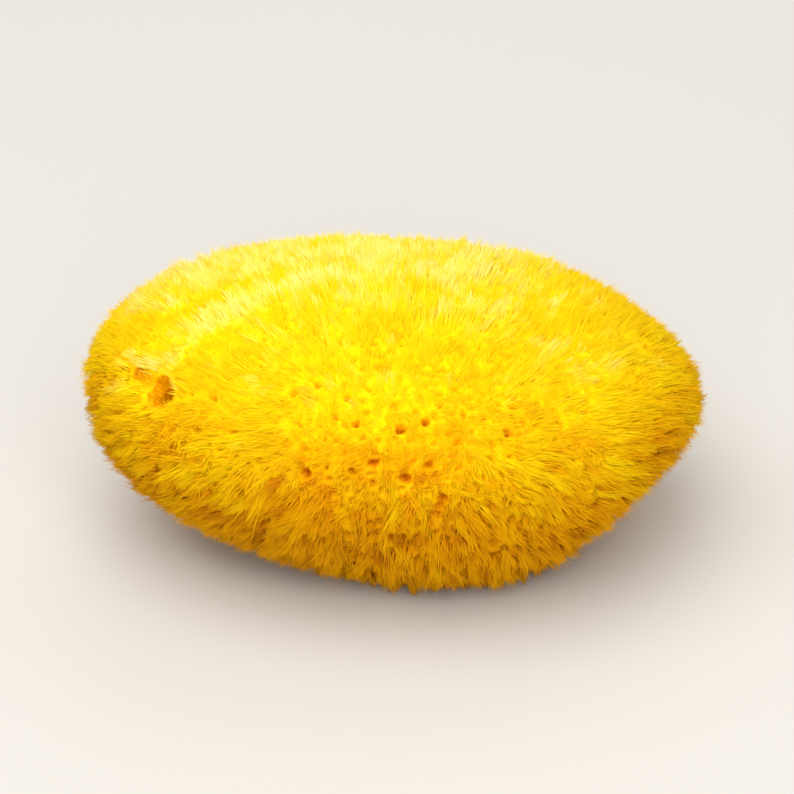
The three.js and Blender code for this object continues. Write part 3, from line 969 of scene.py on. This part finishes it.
def buildNap(form, pores):
    points, normals = scatterOn(form, nap["tries"])
    kept = spacedOut(points, nap["gap"])
    points, normals, away, upright, rim = keepPoresOpen(points[kept], normals[kept], pores)
    fold = lineShare(form, points, "fold") - lineShare(form, points, "hollow")
    leans, rises, shade, unshaded = tuftShapes(form, points, normals, away, upright, rim, fold)
    onTop = smoothStep(0.35, 0.8, heightShare(form, points))
    tones = tonesAt(form, points, normals) + 0.2 * rim + shade
    tones += rng.normal(0, 1, len(points)) * (0.035 + 0.12 * smoothStep(0.5, 0.8, tones))
    draws = rng.random(len(points))
    drawIn = between(nap["drawIn"], draws) * onTop + between(nap["drawInBelow"], draws) * (1 - onTop)
    order = np.argsort(np.arctan2(points[:, 1], points[:, 0]))
    pieces = []
    for number, part in enumerate(np.array_split(order, nap["sectors"])):
        shapes = (a[part] for a in (points, normals, leans, rises, tones, unshaded, drawIn, onTop))
        arrays = clearOfPores(pores, nap["furrow"], *fibreArrays(*shapes))
        pieces.append(fibreMesh(f"nap_{number + 1}", form, *arrays, form["low"][2]))
    total = sum(len(piece.data.polygons) for piece in pieces)
    print(f"nap: {len(points)} tufts, {total} faces in {len(pieces)} pieces")
    return pieces


# Colours, from the deepest to the palest. The darkest are partly painted shade, for the pits and the roots
# deep in the nap, and the palest partly the painted highlight on top.
spongeColours = {
    "shadedCavity": (0.34, 0.11, 0.003),
    "amber": (0.66, 0.23, 0.0015),
    "orange": (0.985, 0.47, 0.001),
    "gold": (0.98, 0.65, 0.002),
    "yellow": (0.985, 0.7, 0.002),
    "pale": (0.99, 0.86, 0.24),
}


def spongeTones():
    # one colour for the whole skeleton: from shaded cavity to tip by Height, from amber to pale by Tone;
    # Height and Tone both carry painted shade, and Tone the painted highlight
    group = bpy.data.node_groups.new("Sponge colour", "ShaderNodeTree")
    group.interface.new_socket("Height", in_out="INPUT", socket_type="NodeSocketFloat")
    group.interface.new_socket("Tone", in_out="INPUT", socket_type="NodeSocketFloat")
    group.interface.new_socket("Color", in_out="OUTPUT", socket_type="NodeSocketColor")
    nodes, links = group.nodes, group.links
    entry = nodes.new("NodeGroupInput")
    exit_ = nodes.new("NodeGroupOutput")
    dull = ramp(nodes, ("shadedCavity", 0), ("amber", 0.25), ("orange", 0.9))
    bright = ramp(nodes, ("gold", 0), ("yellow", 0.5))
    light = ramp(nodes, ("yellow", 0.25), ("pale", 0.85))
    for step in (dull, bright, light):
        links.new(entry.outputs["Height"], step.inputs["Fac"])
    brightness = partOf(nodes, links, entry.outputs["Tone"], 0.15, 0.6)
    paleness = partOf(nodes, links, entry.outputs["Tone"], 0.62, 1)
    warm = blend(nodes, links, brightness, dull.outputs["Color"], bright.outputs["Color"])
    final = blend(nodes, links, paleness, warm, light.outputs["Color"])
    links.new(final, exit_.inputs["Color"])
    return group


def partOf(nodes, links, value, low, high, toLow=0, toHigh=1):
    span = nodes.new("ShaderNodeMapRange")
    span.inputs["From Min"].default_value = low
    span.inputs["From Max"].default_value = high
    span.inputs["To Min"].default_value = toLow
    span.inputs["To Max"].default_value = toHigh
    links.new(value, span.inputs["Value"])
    return span.outputs["Result"]


def blend(nodes, links, share, first, second):
    mix = nodes.new("ShaderNodeMix")
    mix.data_type = "RGBA"
    links.new(share, mix.inputs["Factor"])
    links.new(first, mix.inputs["A"])
    links.new(second, mix.inputs["B"])
    return mix.outputs["Result"]


def ramp(nodes, *stops):
    node = nodes.new("ShaderNodeValToRGB")
    steps = node.color_ramp.elements
    while len(steps) < len(stops):
        steps.new(0.5)
    for step, (colour, place) in zip(steps, stops):
        step.position = place
        step.color = (*spongeColours[colour], 1)
    return node


def newMaterial(name, roughness, specular):
    material = bpy.data.materials.new(name)
    material.use_nodes = True
    shader = material.node_tree.nodes["Principled BSDF"]
    shader.inputs["Roughness"].default_value = roughness
    shader.inputs["Specular IOR Level"].default_value = specular
    return material, shader


def colourBy(nodes, links, tones, height, tone, shader):
    group = nodes.new("ShaderNodeGroup")
    group.node_tree = tones
    links.new(height, group.inputs["Height"])
    links.new(tone, group.inputs["Tone"])
    links.new(group.outputs["Color"], shader.inputs["Base Color"])


def maskOf(nodes, name):
    mask = nodes.new("ShaderNodeAttribute")
    mask.attribute_name = name
    return mask.outputs["Fac"]


def napMaterial(tones):
    material, shader = newMaterial("sponge nap", 0.8, 0.05)
    nodes, links = material.node_tree.nodes, material.node_tree.links
    strand = nodes.new("ShaderNodeUVMap")
    strand.uv_map = "strand"
    split = nodes.new("ShaderNodeSeparateXYZ")
    links.new(strand.outputs["UV"], split.inputs["Vector"])
    colourBy(nodes, links, tones, split.outputs["Y"], split.outputs["X"], shader)
    return material


def bodyMaterial(tones):
    material, shader = newMaterial("sponge body", 0.9, 0.05)
    nodes, links = material.node_tree.nodes, material.node_tree.links
    place = nodes.new("ShaderNodeTexCoord")
    fine = nodes.new("ShaderNodeTexNoise")
    fine.inputs["Scale"].default_value = 1400
    fine.inputs["Detail"].default_value = 2
    links.new(place.outputs["Object"], fine.inputs["Vector"])
    # painted shade: a pit is nearer the shaded cavity colour, and fine grain breaks that up
    height = partOf(nodes, links, maskOf(nodes, "pit"), 0, 1, 0.6, 0)
    grain = nodes.new("ShaderNodeMath")
    grain.operation = "MULTIPLY_ADD"
    grain.inputs[1].default_value = 0.5
    grain.inputs[2].default_value = -0.25
    links.new(fine.outputs["Fac"], grain.inputs[0])
    level = nodes.new("ShaderNodeMath")
    level.use_clamp = True
    links.new(grain.outputs["Value"], level.inputs[0])
    links.new(height, level.inputs[1])
    colourBy(nodes, links, tones, level.outputs["Value"], maskOf(nodes, "paleness"), shader)
    bump = nodes.new("ShaderNodeBump")
    bump.inputs["Strength"].default_value = 0.6
    bump.inputs["Distance"].default_value = 0.0004
    links.new(fine.outputs["Fac"], bump.inputs["Height"])
    links.new(bump.outputs["Normal"], shader.inputs["Normal"])
    return material


sizePores(pores)
core, cutPores = buildCore(form, pores)
print(f"body: {len(core.data.polygons)} faces")
cutOpenings(core, pores["openings"])
print(f"openings cut: {len(core.data.polygons)} faces")
napPieces = [*buildNap(form, pores), buildUndercoat(form, pores), buildStubble(form, cutPores)]
tones = spongeTones()
core.data.materials.clear()
core.data.materials.append(bodyMaterial(tones))
napLook = napMaterial(tones)
for piece in napPieces:
    piece.data.materials.append(napLook)
for piece in (core, *napPieces):
    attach(piece, "root")
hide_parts("sponge")


# The pale table, the light and the camera.
studio = {
    "floor": (0.58, 0.57, 0.55),
    "floorGap": 0.00005,
    "sky": (1.0, 0.92, 0.8),
    "skyStrength": 0.53,
    # watts, size and place in metres
    "lights": {
        "key": (4.5, 0.8, (-0.2, -0.08, 0.72)),
        "fill": (4.05, 0.6, (0.04, -0.6, 0.46)),
        "back": (1.4, 0.6, (0.14, 0.6, 0.38)),
    },
    "elevation": 30,  # degrees the camera looks down
    "distance": 0.62,  # metres
    "frameWidth": 0.127,
}


def tableMaterial():
    material, shader = newMaterial("pale table", 0.9, 0.5)
    shader.inputs["Base Color"].default_value = (*studio["floor"], 1)
    return material


def makeStudio(height):
    bpy.ops.mesh.primitive_plane_add(size=6, location=(0, 0, height - studio["floorGap"]))
    floor = bpy.context.object
    floor.name = "table"
    floor.data.materials.append(tableMaterial())
    world = bpy.data.worlds.new("pale room")
    world.use_nodes = True
    sky = world.node_tree.nodes["Background"]
    sky.inputs["Color"].default_value = (*studio["sky"], 1)
    sky.inputs["Strength"].default_value = studio["skyStrength"]
    bpy.context.scene.world = world


def softLight(name, power, size, place, target):
    lamp = bpy.data.lights.new(name, "AREA")
    lamp.energy = power
    lamp.size = size
    piece = bpy.data.objects.new(name, lamp)
    piece.location = place
    piece.rotation_euler = (Vector(target) - Vector(place)).to_track_quat("-Z", "Y").to_euler()
    bpy.context.scene.collection.objects.link(piece)


def makeCamera(target):
    lens = bpy.data.cameras.new("camera")
    lens.sensor_width = 36
    lens.lens = lens.sensor_width * studio["distance"] / studio["frameWidth"]
    lens.clip_start = 0.01
    camera = bpy.data.objects.new("camera", lens)
    tilt = math.radians(studio["elevation"])
    back = Vector((0, -math.cos(tilt), math.sin(tilt)))
    camera.location = Vector(target) + back * studio["distance"]
    camera.rotation_euler = (-back).to_track_quat("-Z", "Y").to_euler()
    bpy.context.scene.collection.objects.link(camera)
    bpy.context.scene.camera = camera


low, high = (np.array(v) for v in cadBox)
target = (low + high) / 2
makeStudio(low[2])
for name, light in studio["lights"].items():
    softLight(name, *light, target)
makeCamera(target)
bpy.context.scene.view_settings.view_transform = "Standard"
